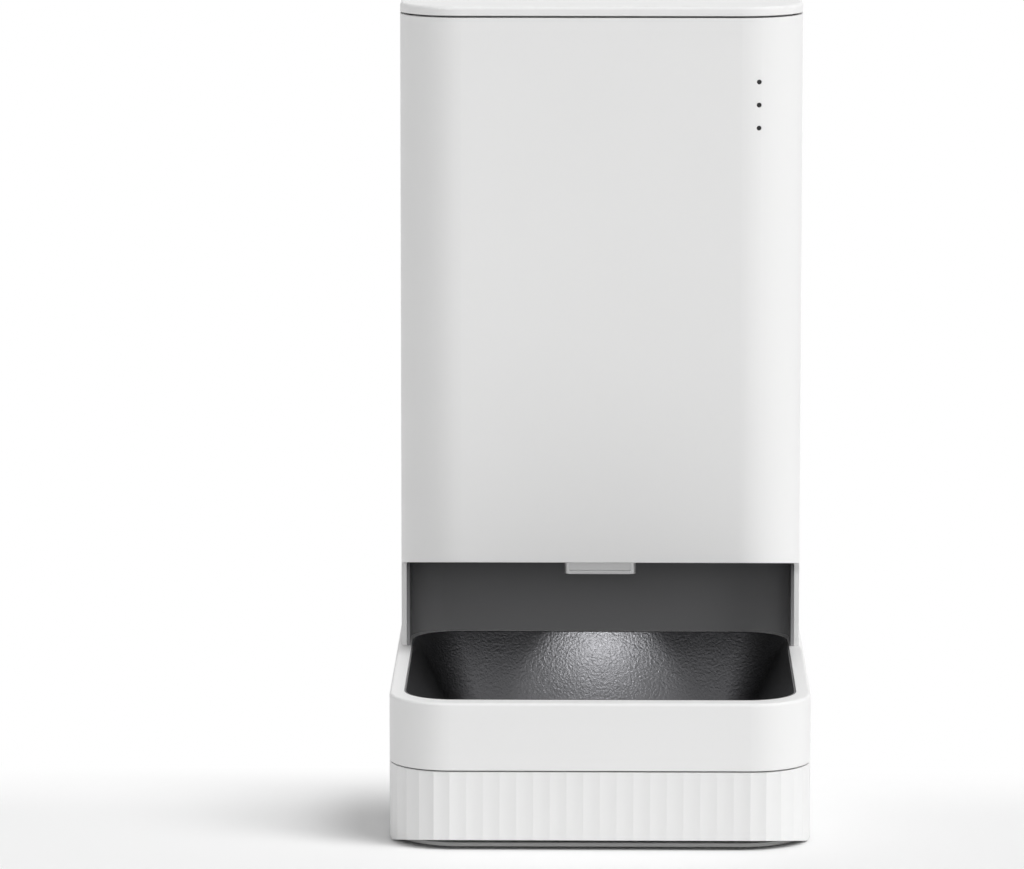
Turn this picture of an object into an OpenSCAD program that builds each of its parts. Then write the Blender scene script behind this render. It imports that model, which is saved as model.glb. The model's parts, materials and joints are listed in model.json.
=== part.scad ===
// Automatic dry food feeder: a tall tower with a food bin stands on a wide base with a steel bowl.
// Millimetres, +Z up, the front faces -Y. The origin is on the floor under the middle of the base.

/* [Base] */
// Width of the base
base_w = 172; // [170:1:180]
// Depth of the base, front to back
base_d = 320; // [312:1:340]
// Corner radius of the base in plan
base_r = 25; // [22:1:28]
// Height of the bottom plate above the floor
foot_h = 1.4; // [1.2:0.1:1.8]
// Thickness of the bottom plate
cover_t = 1.5; // [1.4:0.1:1.8]
// Height of the fluted skirt's lower edge at the front and the rear
skirt_z = 4.3; // [4:0.1:5]
// Height of the skirt's lower edge along the sides
side_z = 0.8; // [0.6:0.1:1.2]
// Slope of the skirt's lower edge from the front or rear to the sides, in degrees
skirt_lean = 11.6; // [10:0.1:14]
// Height of the seam between the skirt and the upper band
seam_z = 32.75; // [31:0.25:35]
// Width of the seam groove
seam_gap = 0.6; // [0.4:0.1:1]
// Height of the rim round the bowl
rim_z = 60.8; // [60:0.2:64]
// Wall of the base mouldings
base_wall = 2.5; // [2:0.1:2.8]
// Rounding of the rim's outer edge
rim_edge = 1.2; // [0.8:0.1:1.6]

/* [Flutes] */
// Spacing of the flutes round the skirt
flute_pitch = 6.75; // [5.5:0.25:9]
// Depth of a flute below its two ridges
flute_depth = 0.25; // [0.2:0.05:0.5]

/* [Bowl] */
// Width of the bowl over its lip
bowl_w = 159.6; // [150:0.1:160]
// Depth of the bowl over its lip, front to back
bowl_d = 155.4; // [150:0.1:156]
// Corner radius of the lip
bowl_r = 20; // [18:1:24]
// Distance from the base front to the lip
bowl_front = 8.2; // [8:0.1:9]
// Width of the flat lip
lip_w = 1.2; // [1:0.1:2.5]
// Height from the lip down to the floor inside
bowl_h = 38; // [34:1:42]
// Lean of the bowl's walls from upright, in degrees
bowl_lean = 27; // [20:1:30]
// Rounding between the bowl's walls and floor
bowl_fillet = 12; // [8:1:14]
// Steel thickness
steel_t = 0.9; // [0.7:0.1:1.2]

/* [Tower] */
// Width of the tower
tower_w = 168.5; // [166:0.5:170]
// Corner radius of the tower in plan
tower_r = 26; // [22:1:28]
// Distance from the base front to the tower front
tower_setback = 103; // [100:1:106]
// Wall of the tower
tower_wall = 2.2; // [2:0.1:2.8]
// Height of the tower's top edge
tower_top = 329.8; // [325:0.2:340]
// Height of the overhanging front's lower edge
overhang_z = 101; // [100:0.5:104]
// Fall of the overhang's underside towards the rear, in degrees
overhang_lean = 9.7; // [8:0.1:11]
// How far behind the tower front the side cut reaches
cut_reach = 26; // [24:1:30]
// Rounding at the top of the side cut
cut_r = 6; // [4:1:10]
// Distance from the base front to the recess wall
recess_depth = 164.5; // [164:0.5:168]
// Thickness of the recess liner
liner_t = 1.2; // [1:0.1:2.2]
// Rounding of the recess's inner corners
liner_r = 14; // [8:1:20]

/* [Lid] */
// Groove between the tower and the lid
lid_gap = 0.8; // [0.5:0.1:1.2]
// Thickness of the lid
lid_t = 3.9; // [3.5:0.1:6]
// Rounding of the lid's top edge
lid_edge = 1.3; // [0.8:0.1:1.8]
// Depth of the skirt that plugs the bin
lid_skirt = 14; // [12:1:18]
// Radius of the drying agent holder
dry_r = 28; // [22:1:34]
// Depth of the drying agent holder below the lid
dry_h = 27; // [20:1:32]

/* [Lights] */
// Distance of the lights from the tower's side
led_x = 18.75; // [16:0.25:24.5]
// Height of the lowest light
led_z = 284; // [270:1:290]
// Spacing of the lights
led_pitch = 9.6; // [8:0.2:12]
// Radius of a light
led_r = 0.95; // [0.7:0.05:1.5]

/* [Food path] */
// Gap in front of the bin for the light board
bin_front_gap = 9; // [9:0.5:12]
// Gap round the rest of the bin
bin_gap = 2.2; // [1.5:0.1:4]
// Wall of the bin
bin_wall = 1.8; // [1.5:0.1:2.2]
// Corner radius of the bin
bin_r = 18; // [14:1:20]
// Distance from the tower's top edge down to the bin's
bin_drop = 2.3; // [2:0.1:4]
// Height where the bin's funnel starts
funnel_z = 215; // [205:1:225]
// Distance from the tower front to the rotor's axis
rotor_setback = 89; // [88:0.5:92]
// Inner radius of the metering drum
drum_r = 44.5; // [42:0.5:45]
// Wall of the metering drum
drum_wall = 2; // [1.6:0.1:2]
// Height of the drum's floor above the floor
drum_z = 150; // [149:0.5:153]
// Depth of the drum, floor and flange included
drum_h = 26; // [22:1:30]
// Number of pockets in the rotor
vane_n = 6; // [6:1:6]
// Thickness of a rotor vane
vane_t = 2; // [1.5:0.1:3]
// Radius of the rotor shaft
shaft_r = 4; // [3.5:0.1:4.5]
// Width of the spout
spout_w = 30; // [26:0.5:32]
// Depth of the spout, front to back
spout_d = 22; // [18:0.5:24]
// Distance from the tower front to the spout's face
spout_setback = 17; // [14:0.5:19]
// How far the spout hangs below the overhang
spout_drop = 7.8; // [5:0.1:12]
// Wall of the spout
spout_wall = 1.5; // [1.2:0.1:2]

/* [Drive] */
// Thickness of the chassis plate
chassis_t = 3; // [2.5:0.1:4]
// Width of the gearbox
gear_w = 44; // [38:1:50]
// Depth of the gearbox, front to back
gear_d = 40; // [36:1:46]
// Height of the gearbox
gear_h = 22; // [18:1:26]
// Radius of the motor
motor_r = 13.5; // [11:0.5:15]
// Length of the motor
motor_h = 38; // [30:1:44]

/* [Battery] */
// Radius of a cell
cell_r = 7.25; // [7:0.05:7.4]
// Length of a cell with its button
cell_len = 50.5; // [49:0.5:51]
// Number of cells
cell_n = 4; // [2:2:4]
// Distance from the base rear to the middle of the battery bay
bay_setback = 65; // [58:1:80]

/* [Rear panel] */
// Distance of the power inlet from the base's side
inlet_x = 26; // [22:1:36]
// Distance of the feed button from the base's side
button_x = 56; // [48:1:61]
// Height of the inlet and the button
panel_z = 46; // [45:0.5:48]
// Radius of the feed button
button_r = 4; // [3:0.25:5]

/* [Fasteners] */
// Radius of a screw
screw_r = 1.5; // [1.2:0.1:1.6]
// Radius of a screw head
head_r = 2.8; // [2.4:0.1:3]

/* [Hidden] */
$fn = 64;
eps = 0.01;
fit = 0.3;                                    // loose fit of parts that come apart
snug = 0.1;                                   // gap of parts that are fixed together
run = 0.06;                                   // radial running clearance
front_y = -base_d / 2;
rear_y = base_d / 2;
tower_inset = (base_w - tower_w) / 2;
tower_front = front_y + tower_setback;
tower_rear = rear_y - tower_inset;
tower_d = tower_rear - tower_front;
tower_cy = (tower_front + tower_rear) / 2;
cut_y = tower_front + cut_reach;
recess_y = front_y + recess_depth;
band_z = seam_z + seam_gap / 2;
skirt_top = seam_z - seam_gap / 2;
skirt_wall = base_wall + 0.5;
tongue_t = 1.4;                               // tongue that centres the upper band in the skirt
tongue_h = 3.5;
ledge_w = 14;                                 // flange under the skirt that takes the screws
ledge_t = 2.5;
cover_side = skirt_wall + fit;                 // inset of the bottom plate along the sides
cover_end = 1.8;                              // its inset at the front and the rear
cover_top = foot_h + cover_t;
skirt_run = (skirt_z - side_z) / tan(skirt_lean);
foot_sink = 0.6;                              // depth of the pockets for the feet
foot_w = 21;
foot_d = 12;
foot_inset = 21.5;
foot_setback = 22;
foot_x = base_w / 2 - foot_inset;
foot_y = base_d / 2 - foot_setback;
boss_r = 4;
boss_h = 11;
boss_inset = 11.8;
boss_setback = 60;
boss_x = base_w / 2 - boss_inset;
boss_y = base_d / 2 - boss_setback;
deck_z = rim_z - base_wall;
bowl_cy = front_y + bowl_front + bowl_d / 2;
bowl_mouth_w = bowl_w - 2 * lip_w;
bowl_mouth_d = bowl_d - 2 * lip_w;
bowl_floor_z = rim_z - bowl_h;
well_gap = 0.4;
well_t = 2;
clear_h = 5;                                  // how far a cutter stands above the rim
bowl_facets = 48;
well_facets = 32;
post_r = 5;
post_gap = 9;                                 // room between the liner and a front post
post_back = 12;                               // room between a rear post and the tower's wall
post_x = min(tower_w, base_w) / 2 - tower_wall - post_r - 1;
post_front_y = recess_y + liner_t + post_r + post_gap;
post_rear_y = min(tower_rear, rear_y) - tower_wall - post_r - post_back;
tower_screw = 14;                             // length of a tower screw's shank
liner_gap = 0.6;                              // step from the overhang's edge up to the liner
rotor_y = tower_front + rotor_setback;
bin_w = tower_w - 2 * (tower_wall + bin_gap);
bin_front = tower_front + tower_wall + bin_front_gap;
bin_rear = tower_rear - tower_wall - bin_gap;
bin_d = bin_rear - bin_front;
bin_cy = (bin_front + bin_rear) / 2;
bin_top = tower_top - bin_drop;
drum_top = drum_z + drum_h;
drum_out = drum_r + drum_wall;
flange_t = 2;
flange_w = 4;
throat_r = drum_r - 1.5;
seat_h = 6;                                   // height of the collar that the drum sits on
chassis_z = drum_z - seat_h - chassis_t;
outlet_w = spout_w - 2 * spout_wall - 1;
outlet_d = 24;
outlet_y = rotor_y - drum_r + outlet_d / 2 + 5.5;
mouth_d = outlet_d + 2 * spout_wall + 1;
spout_cy = tower_front + spout_setback + spout_d / 2;
spout_z = overhang_z - spout_drop;
spout_bend_z = overhang_z + 5;
mouth_z = chassis_z - 2;
vane_r = drum_r - 0.7;
vane_z = drum_z + drum_wall + fit;
vane_h = drum_h - drum_wall - fit - 4;
hub_r = 10;
key_w = 7;                                    // drive key on the shaft's lower end
key_t = 2.2;
key_z = chassis_z + chassis_t - 0.4;
coupler_r = 6.5;
coupler_top = drum_z - 2.8;
coupler_z = chassis_z + 0.3;
output_r = 2.5;
gear_front = rotor_y - 11;
gear_cy = gear_front + gear_d / 2;
motor_y = rotor_y + 14;
lid_z = tower_top + lid_gap;
lid_top = lid_z + lid_t;
mouth_w = bin_w - 2 * bin_wall;
mouth_len = bin_d - 2 * bin_wall;
skirt_gap = 2;
skirt_t = 1.8;
seal_z = lid_z - lid_skirt + 3;
seal_t = 0.8;
seal_h = 6;
bay_y = rear_y - bay_setback;
bay_w = cell_n * (2 * cell_r + 0.4) + 2 * 0.6;
bay_d = cell_len + 5;
bay_top = cover_top + fit + 2 * cell_r + 0.4;
box_t = 1.5;
contact_t = 0.5;
inlet_r = 4;
panel_in = rear_y - base_wall;                // inner face of the rear wall
board_t = 1.6;
board_y = panel_in - 6;                       // rear face of the control board
switch_h = 2;
button_press = 0.8;
board_h = 21;
board_edge = 15;                              // board beyond the button's middle
board_over = 13;                              // board beyond the inlet's middle
inlet_at = base_w / 2 - inlet_x;
button_at = base_w / 2 - button_x;
board_in = button_at - board_edge;            // ends of the control board
board_out = inlet_at + board_over;
led_at = tower_w / 2 - led_x;
led_board_t = 1.4;
led_back_y = bin_front - led_board_t - 1.2;
led_n = 3;
sensor_w = 6;
sensor_d = 9;
stir_z = 4;                                   // middle of the stirrer's rod above the rotor
stir_h = 24;                                  // height of its upright end

// A rectangle with round corners, centred
module round_rect(w, d, r) {
    square([w - 2 * r, d], center = true);
    square([w, d - 2 * r], center = true);
    for (sx = [-1, 1], sy = [-1, 1])
        translate([sx * (w / 2 - r), sy * (d / 2 - r)]) circle(r);
}

// An upright block with round corners in plan
module prism(w, d, r, z0, z1, cy = 0) {
    translate([0, cy, z0]) linear_extrude(z1 - z0) round_rect(w, d, r);
}

// Half of a slab's section, with quarter rounds at the outer edge
module slab_half(reach, h, low, high) {
    square([reach - max(low, high), h]);
    translate([0, low]) square([reach, h - low - high]);
    if (low > 0) {
        square([reach - low, h - high]);
        translate([reach - low, low]) circle(low);
    }
    if (high > 0) {
        translate([0, low]) square([reach - high, h - low]);
        translate([reach - high, h - high]) circle(high);
    }
}

// The same section to both sides
module slab_section(w, h, low, high) {
    slab_half(w / 2, h, low, high);
    mirror([1, 0]) slab_half(w / 2, h, low, high);
}

// An upright block with round corners in plan and rounded lower and upper edges
module soft_prism(w, d, r, z0, z1, low, high, cy = 0) {
    h = z1 - z0;
    translate([0, cy, z0]) {
        for (sx = [-1, 1], sy = [-1, 1])
            translate([sx * (w / 2 - r), sy * (d / 2 - r), 0])
                rotate_extrude() slab_half(r, h, low, high);
        translate([0, d / 2 - r, 0]) rotate([90, 0, 0])
            linear_extrude(d - 2 * r) slab_section(w, h, low, high);
        translate([-(w / 2 - r), 0, 0]) rotate([90, 0, 90])
            linear_extrude(w - 2 * r) slab_section(d, h, low, high);
    }
}

// Radius of the cutter that hollows a flute between two ridges, from half their distance
function flute_cut_r(half) = (half * half + flute_depth * flute_depth) / (2 * flute_depth);

// A row of flute cutters along a straight side, with a ridge at its middle
module flute_row(len, face) {
    n = 2 * round(len / flute_pitch / 2);
    cut_r = flute_cut_r(len / n / 2);
    for (i = [0 : n - 1])
        translate([(i + 0.5 - n / 2) * len / n, face + cut_r - flute_depth]) circle(cut_r);
}

// The flute cutters round one corner
module flute_corner() {
    n = max(2, round(base_r * PI / 2 / flute_pitch));
    half_angle = 45 / n;
    cut_r = flute_cut_r(base_r * sin(half_angle));
    reach = base_r * cos(half_angle) - flute_depth + cut_r;
    for (i = [0 : n - 1])
        rotate((2 * i + 1) * half_angle) translate([reach, 0]) circle(cut_r);
}

// The skirt's outline with flutes all round
module fluted_outline() {
    long = base_d - 2 * base_r;
    wide = base_w - 2 * base_r;
    difference() {
        round_rect(base_w, base_d, base_r);
        for (turn = [0, 180]) rotate(turn) {
            flute_row(wide, base_d / 2);
            rotate(90) flute_row(long, base_w / 2);
            translate([wide / 2, long / 2]) flute_corner();
            translate([-wide / 2, long / 2]) rotate(90) flute_corner();
        }
    }
}

module at_bosses() {
    for (sx = [-1, 1], y = [-boss_y, 0, boss_y]) translate([sx * boss_x, y, 0]) children();
}

// The wedge that lifts the skirt's lower edge at the front
module skirt_lift() {
    rise = tan(skirt_lean);
    translate([-base_w, 0, 0]) rotate([90, 0, 90]) linear_extrude(2 * base_w)
        polygon([[front_y - 1, 0], [front_y - 1, skirt_z + rise], [front_y + skirt_run, side_z],
            [front_y + skirt_run, 0]]);
}

module base_plinth() color("#f2f2f0") difference() {
    union() {
        difference() {
            translate([0, 0, side_z]) linear_extrude(skirt_top - side_z) fluted_outline();
            prism(base_w - 2 * skirt_wall, base_d - 2 * skirt_wall, base_r - skirt_wall,
                side_z - 1, cover_top);
            prism(base_w - 2 * skirt_wall, base_d - 2 * skirt_wall, base_r - skirt_wall,
                band_z - tongue_h, skirt_top + 1);
            prism(base_w - 2 * (skirt_wall + tongue_t), base_d - 2 * (skirt_wall + tongue_t),
                base_r - skirt_wall - tongue_t, cover_top + ledge_t, skirt_top);
            prism(base_w - 2 * ledge_w, base_d - 2 * ledge_w, base_r - ledge_w, side_z - 1, skirt_top);
        }
        at_bosses() translate([0, 0, cover_top]) cylinder(h = boss_h, r = boss_r);
    }
    at_bosses() translate([0, 0, cover_top - 1]) cylinder(h = boss_h, r = screw_r + 0.02);
    for (turn = [0, 180]) rotate(turn) skirt_lift();
}

// One layer of the bowl's form: a thin slab at a depth, drawn in by the lean or the fillet
module bowl_layer(grow, z, draw) {
    w = bowl_mouth_w + 2 * grow - 2 * draw;
    d = bowl_mouth_d + 2 * grow - 2 * draw;
    r = max(bowl_r - lip_w + grow - draw * 0.35, 6);
    translate([0, bowl_cy, z]) linear_extrude(eps) round_rect(w, d, r);
}

// The bowl's form grown outwards by a distance, from its floor up to top_z
module bowl_form(grow, drop, top_z, smooth) {
    lean = tan(bowl_lean);
    floor_z = bowl_floor_z - drop;
    f = bowl_fillet;
    tangent_z = floor_z + f * (1 - sin(bowl_lean));
    tangent_draw = (rim_z - tangent_z) * lean;
    hull() {
        translate([0, bowl_cy, rim_z]) linear_extrude(max(top_z - rim_z, eps))
            round_rect(bowl_mouth_w + 2 * grow, bowl_mouth_d + 2 * grow, bowl_r - lip_w + grow, $fn = smooth);
        for (i = [0 : 5]) {
            a = (90 - bowl_lean) * i / 5;
            bowl_layer(grow, floor_z + f * (1 - cos(a)),
                tangent_draw + f * (cos(bowl_lean) - sin(a)), $fn = smooth);
        }
    }
}

module steel_bowl() color("#8f9196") difference() {
    union() {
        prism(bowl_w, bowl_d, bowl_r, rim_z - steel_t, rim_z, bowl_cy);
        intersection() {
            bowl_form(steel_t, steel_t, rim_z, bowl_facets);
            prism(bowl_w, bowl_d, bowl_r, 0, rim_z, bowl_cy);
        }
    }
    bowl_form(0, 0, rim_z + clear_h, bowl_facets);
}

module at_posts() {
    for (sx = [-1, 1], y = [post_front_y, post_rear_y]) translate([sx * post_x, y, 0]) children();
}

module base_top() color("#f4f4f2") difference() {
    union() {
        difference() {
            soft_prism(base_w, base_d, base_r, band_z, rim_z, 0, rim_edge);
            prism(base_w - 2 * base_wall, base_d - 2 * base_wall, base_r - base_wall, band_z - 1, deck_z);
        }
        difference() {
            prism(base_w - 2 * (skirt_wall + snug), base_d - 2 * (skirt_wall + snug),
                base_r - skirt_wall - snug, band_z - tongue_h, band_z + 4);
            prism(base_w - 2 * (skirt_wall + tongue_t), base_d - 2 * (skirt_wall + tongue_t),
                base_r - skirt_wall - tongue_t, band_z - tongue_h - 1, band_z + 5);
        }
        difference() {
            prism(base_w - 2 * base_wall + 0.4, base_d - 2 * base_wall + 0.4, base_r - base_wall,
                band_z + 1, band_z + 4);
            prism(base_w - 2 * (skirt_wall + tongue_t), base_d - 2 * (skirt_wall + tongue_t),
                base_r - skirt_wall - tongue_t, band_z, band_z + 5);
        }
        intersection() {
            bowl_form(steel_t + well_gap + well_t, steel_t + well_gap + well_t, rim_z, well_facets);
            prism(base_w - 2, base_d - 2, base_r - 1, 0, deck_z + 1);
        }
        for (x = [board_in + 4, board_out - 4])
            translate([x, panel_in + 0.5, panel_z + board_h / 2 - 3]) rotate([90, 0, 0])
                cylinder(h = panel_in + 0.5 - board_y, r = 2.5);
    }
    bowl_form(steel_t + well_gap, steel_t + well_gap, rim_z + clear_h, well_facets);
    prism(bowl_w + 2 * fit, bowl_d + 2 * fit, bowl_r + fit, rim_z - steel_t, rim_z + clear_h, bowl_cy);
    at_posts() translate([0, 0, deck_z - 1]) cylinder(h = base_wall + 2, r = screw_r + 0.2);
    translate([0, (post_front_y + post_rear_y) / 2, deck_z - 1]) cylinder(h = base_wall + 2, r = 9);
    translate([inlet_at, panel_in - 1, panel_z]) rotate([-90, 0, 0])
        cylinder(h = base_wall + 2, r = inlet_r + 0.15);
    translate([button_at, panel_in - 1, panel_z]) rotate([-90, 0, 0])
        cylinder(h = base_wall + 2, r = button_r + 0.15);
}

module at_feet() {
    for (sx = [-1, 1], sy = [-1, 1]) translate([sx * foot_x, sy * foot_y, 0]) children();
}

module bottom_cover() color("#c9cac8") difference() {
    prism(base_w - 2 * cover_side, base_d - 2 * cover_end, base_r, foot_h, cover_top);
    at_bosses() translate([0, 0, foot_h - 1]) cylinder(h = cover_t + 2, r = screw_r + 0.2);
    at_bosses() translate([0, 0, foot_h]) cylinder(h = 1.1, r1 = head_r + fit, r2 = screw_r + fit);
    at_bosses() translate([0, 0, foot_h - 1]) cylinder(h = 1.1, r = head_r + fit);
    at_feet() translate([0, 0, foot_h - 1]) linear_extrude(1 + foot_sink)
        round_rect(foot_w + 2 * snug, foot_d + 2 * snug, foot_d / 2 + snug - eps);
    translate([0, bay_y, foot_h - 1]) linear_extrude(cover_t + 2) round_rect(bay_w, bay_d, 2);
}

module rubber_feet() color("#3a3a3a") at_feet()
    linear_extrude(foot_h + foot_sink) round_rect(foot_w, foot_d, foot_d / 2 - eps);

module base_screws() color("silver") at_bosses() {
    translate([0, 0, foot_h + 0.1]) cylinder(h = 1, r1 = head_r, r2 = screw_r);
    translate([0, 0, foot_h + 0.1]) cylinder(h = boss_h, r = screw_r);
}

// Height of the overhang's underside at a distance behind the tower front
function underside(y) = overhang_z - tan(overhang_lean) * (y - tower_front);

// The side cut seen from the side, with its rounded inner corner
module side_cut() {
    start = tower_front - 10;
    mid_y = cut_y - cut_r;
    mid_z = underside(mid_y) - cut_r / cos(overhang_lean);
    end_y = mid_y + cut_r * sin(overhang_lean);
    translate([-tower_w, 0, 0]) rotate([90, 0, 90]) linear_extrude(2 * tower_w) {
        polygon([[start, 0], [cut_y, 0], [cut_y, mid_z], [mid_y, mid_z], [end_y, underside(end_y)],
            [start, underside(start)]]);
        translate([mid_y, mid_z]) circle(cut_r);
    }
}

// Everything below a plane at a rise above the underside, from one place in depth to another
module below_underside(rise, from_y, to_y) {
    translate([-tower_w, 0, 0]) rotate([90, 0, 90]) linear_extrude(2 * tower_w)
        polygon([[from_y, 0], [to_y, 0], [to_y, underside(to_y) + rise], [from_y, underside(from_y) + rise]]);
}

module at_lights() {
    for (i = [0 : led_n - 1])
        translate([led_at, 0, led_z + i * led_pitch]) rotate([-90, 0, 0]) children();
}

module tower_shell() color("#f6f6f5") difference() {
    union() {
        difference() {
            prism(tower_w, tower_d, tower_r, rim_z, tower_top, tower_cy);
            prism(tower_w - 2 * tower_wall, tower_d - 2 * tower_wall, tower_r - tower_wall,
                rim_z - 1, tower_top + 1, tower_cy);
            side_cut();
        }
        at_posts() translate([0, 0, rim_z]) cylinder(h = chassis_z - rim_z, r = post_r);
        for (sx = [-1, 1], y = [post_front_y, post_rear_y])
            translate([sx * (post_x + (tower_w - tower_wall) / 2) / 2, y, rim_z])
                linear_extrude(chassis_z - rim_z)
                    square([(tower_w - tower_wall) / 2 - post_x, 2], center = true);
        for (i = [0, led_n - 1]) translate([led_at - 4, tower_front + tower_wall - 1,
            led_z + i * led_pitch + (i == 0 ? -4 : 4)])
            rotate([-90, 0, 0]) cylinder(h = led_back_y - tower_front - tower_wall + 1, r = 1.8);
    }
    at_posts() translate([0, 0, rim_z - 1]) cylinder(h = tower_screw + 1, r = screw_r + 0.02);
    at_lights() translate([0, 0, tower_front - 1])
        cylinder(h = led_back_y - tower_front + 1, r = led_r + 0.05);
}

module tower_screws() color("silver") at_posts() {
    translate([0, 0, deck_z - 2]) cylinder(h = 2, r = head_r);
    translate([0, 0, deck_z - 1]) cylinder(h = tower_screw, r = screw_r);
}

// Plan of the recess between its side walls, open to the front, with round rear corners
module recess_plan() {
    half = tower_w / 2 - tower_wall - snug - liner_t;
    reach = recess_y - cut_y + 5;
    translate([-half, cut_y - 5]) square([2 * half, reach - liner_r]);
    translate([-half + liner_r, cut_y - 5]) square([2 * (half - liner_r), reach]);
    for (sx = [-1, 1]) translate([sx * (half - liner_r), recess_y - liner_r]) circle(liner_r);
}

module recess_liner() color("#55565a") {
    half = tower_w / 2 - tower_wall - snug;
    rear = recess_y + liner_t;
    difference() {
        intersection() {
            union() {
                translate([-half, cut_y, rim_z]) cube([2 * half, rear - cut_y, overhang_z - rim_z]);
                intersection() {
                    prism(tower_w - 2 * (tower_wall + snug), tower_d - 2 * (tower_wall + snug),
                        tower_r - tower_wall - snug, rim_z, overhang_z + liner_t + 1, tower_cy);
                    translate([-half, tower_front, rim_z]) cube([2 * half, cut_reach + 1, overhang_z]);
                }
            }
            below_underside(liner_gap + liner_t, tower_front, rear + 1);
        }
        intersection() {
            translate([0, 0, rim_z - 1]) linear_extrude(overhang_z) {
                recess_plan();
                translate([-tower_w, tower_front - 1]) square([2 * tower_w, cut_reach + 1]);
            }
            below_underside(liner_gap, tower_front - 1, rear + 1);
        }
        translate([-spout_w / 2 - fit, spout_cy - spout_d / 2 - fit, rim_z + 5])
            cube([spout_w + 2 * fit, spout_d + 2 * fit, overhang_z]);
    }
}

// The chute's form, grown inwards by a wall: mouth under the drum, slope, and upright spout
module chute_form(wall, low, high) {
    translate([0, outlet_y, mouth_z]) linear_extrude(high - mouth_z)
        round_rect(spout_w - 2 * wall, mouth_d - 2 * wall, 3 - wall);
    hull() {
        translate([0, outlet_y, mouth_z]) linear_extrude(eps)
            round_rect(spout_w - 2 * wall, mouth_d - 2 * wall, 3 - wall, $fn = 32);
        translate([0, spout_cy, spout_bend_z]) linear_extrude(eps)
            round_rect(spout_w - 2 * wall, spout_d - 2 * wall, 3 - wall, $fn = 32);
    }
    translate([0, spout_cy, low]) linear_extrude(spout_bend_z + eps - low)
        round_rect(spout_w - 2 * wall, spout_d - 2 * wall, 3 - wall);
}

module outlet_spout() color("#c8c9ca") difference() {
    chute_form(0, spout_z, drum_z - fit);
    chute_form(spout_wall, spout_z - 1, drum_z + 1);
    translate([-spout_w / 2 + 2, spout_cy - spout_d / 2 - 1, spout_z + 1.6])
        cube([spout_w - 4, 1.4, overhang_z - spout_z - 1]);
}

module food_sensors() color("#26282c") for (sx = [-1, 1])
    translate([sx * (spout_w + sensor_w) / 2, spout_cy, overhang_z + liner_gap + liner_t + sensor_w / 2])
        cube([sensor_w, sensor_d, sensor_w], center = true);

module drive_chassis() color("#dcdcda") difference() {
    union() {
        prism(tower_w - 2 * (tower_wall + fit), tower_d - 2 * (tower_wall + fit),
            tower_r - tower_wall - fit, chassis_z, chassis_z + chassis_t, tower_cy);
        translate([0, rotor_y, chassis_z]) cylinder(h = chassis_t + seat_h, r = drum_out);
        translate([0, rotor_y, chassis_z]) cylinder(h = chassis_t + seat_h + 4, r = drum_out + 2.5);
    }
    translate([0, rotor_y, chassis_z + chassis_t + seat_h]) cylinder(h = 9, r = drum_out + fit);
    translate([0, rotor_y, chassis_z + chassis_t]) cylinder(h = seat_h + 9, r = drum_out - 1.8);
    translate([0, rotor_y, chassis_z - 1]) cylinder(h = chassis_t + 2, r = coupler_r + 1);
    translate([0, outlet_y, chassis_z - 1]) linear_extrude(chassis_t + 2)
        round_rect(spout_w + 2 * fit, mouth_d + 2 * fit, 3 + fit);
    at_gear_screws() translate([0, 0, chassis_z - 1]) cylinder(h = chassis_t + 2, r = screw_r + 0.02);
}

module at_gear_screws() {
    for (sx = [-1, 1], sy = [-1, 1])
        translate([sx * (gear_w / 2 - 4), gear_cy + sy * (gear_d / 2 - 4), 0]) children();
}

module gearbox_housing() color("#b9bbbd") difference() {
    union() {
        prism(gear_w, gear_d, 4, chassis_z - gear_h, chassis_z, gear_cy);
        translate([0, motor_y, chassis_z - gear_h - 2]) cylinder(h = 3, r = motor_r + 1.5);
    }
    translate([0, rotor_y, chassis_z - gear_h + 6]) cylinder(h = gear_h, r = output_r + run);
    translate([0, motor_y, chassis_z - gear_h - 3]) cylinder(h = 3, r = motor_r + 0.02);
    at_gear_screws() translate([0, 0, chassis_z - gear_h - 1]) cylinder(h = gear_h + 2, r = screw_r + 0.1);
    for (z = [1 : 3]) translate([0, gear_cy, chassis_z - z * gear_h / 4]) difference() {
        cube([gear_w + 2, gear_d + 2, 0.6], center = true);
        cube([gear_w - 1, gear_d - 1, 1], center = true);
    }
}

module gearbox_screws() color("silver") at_gear_screws() {
    translate([0, 0, chassis_z - gear_h - 2]) cylinder(h = 2, r = head_r);
    translate([0, 0, chassis_z - gear_h - 1]) cylinder(h = gear_h + chassis_t, r = screw_r);
}

module motor_can() color("#9a9da1") translate([0, motor_y, 0]) {
    top = chassis_z - gear_h;
    translate([0, 0, top - motor_h]) cylinder(h = motor_h, r = motor_r);
    translate([0, 0, top - motor_h - 3]) cylinder(h = 3, r = 4);
}

// Cross of the drive key and its slot
module key_cross(w, t, h) {
    for (turn = [0, 90]) rotate(turn) linear_extrude(h) square([w, t], center = true);
}

module drive_coupler() color("#3f6fb0") translate([0, rotor_y, 0]) difference() {
    union() {
        translate([0, 0, coupler_z]) cylinder(h = coupler_top - coupler_z, r = coupler_r);
        translate([0, 0, chassis_z - gear_h + 7])
            cylinder(h = coupler_z - chassis_z + gear_h - 6, r = output_r);
    }
    translate([0, 0, key_z - 0.4]) key_cross(key_w + 2 * fit, key_t + 2 * fit, 9);
}

module rotor_shaft() color("silver") translate([0, rotor_y, 0]) {
    translate([0, 0, coupler_top + 0.3]) cylinder(h = drum_top + 1 - coupler_top, r = shaft_r);
    translate([0, 0, key_z]) key_cross(key_w, key_t, coupler_top + 1 - key_z);
}

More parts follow.
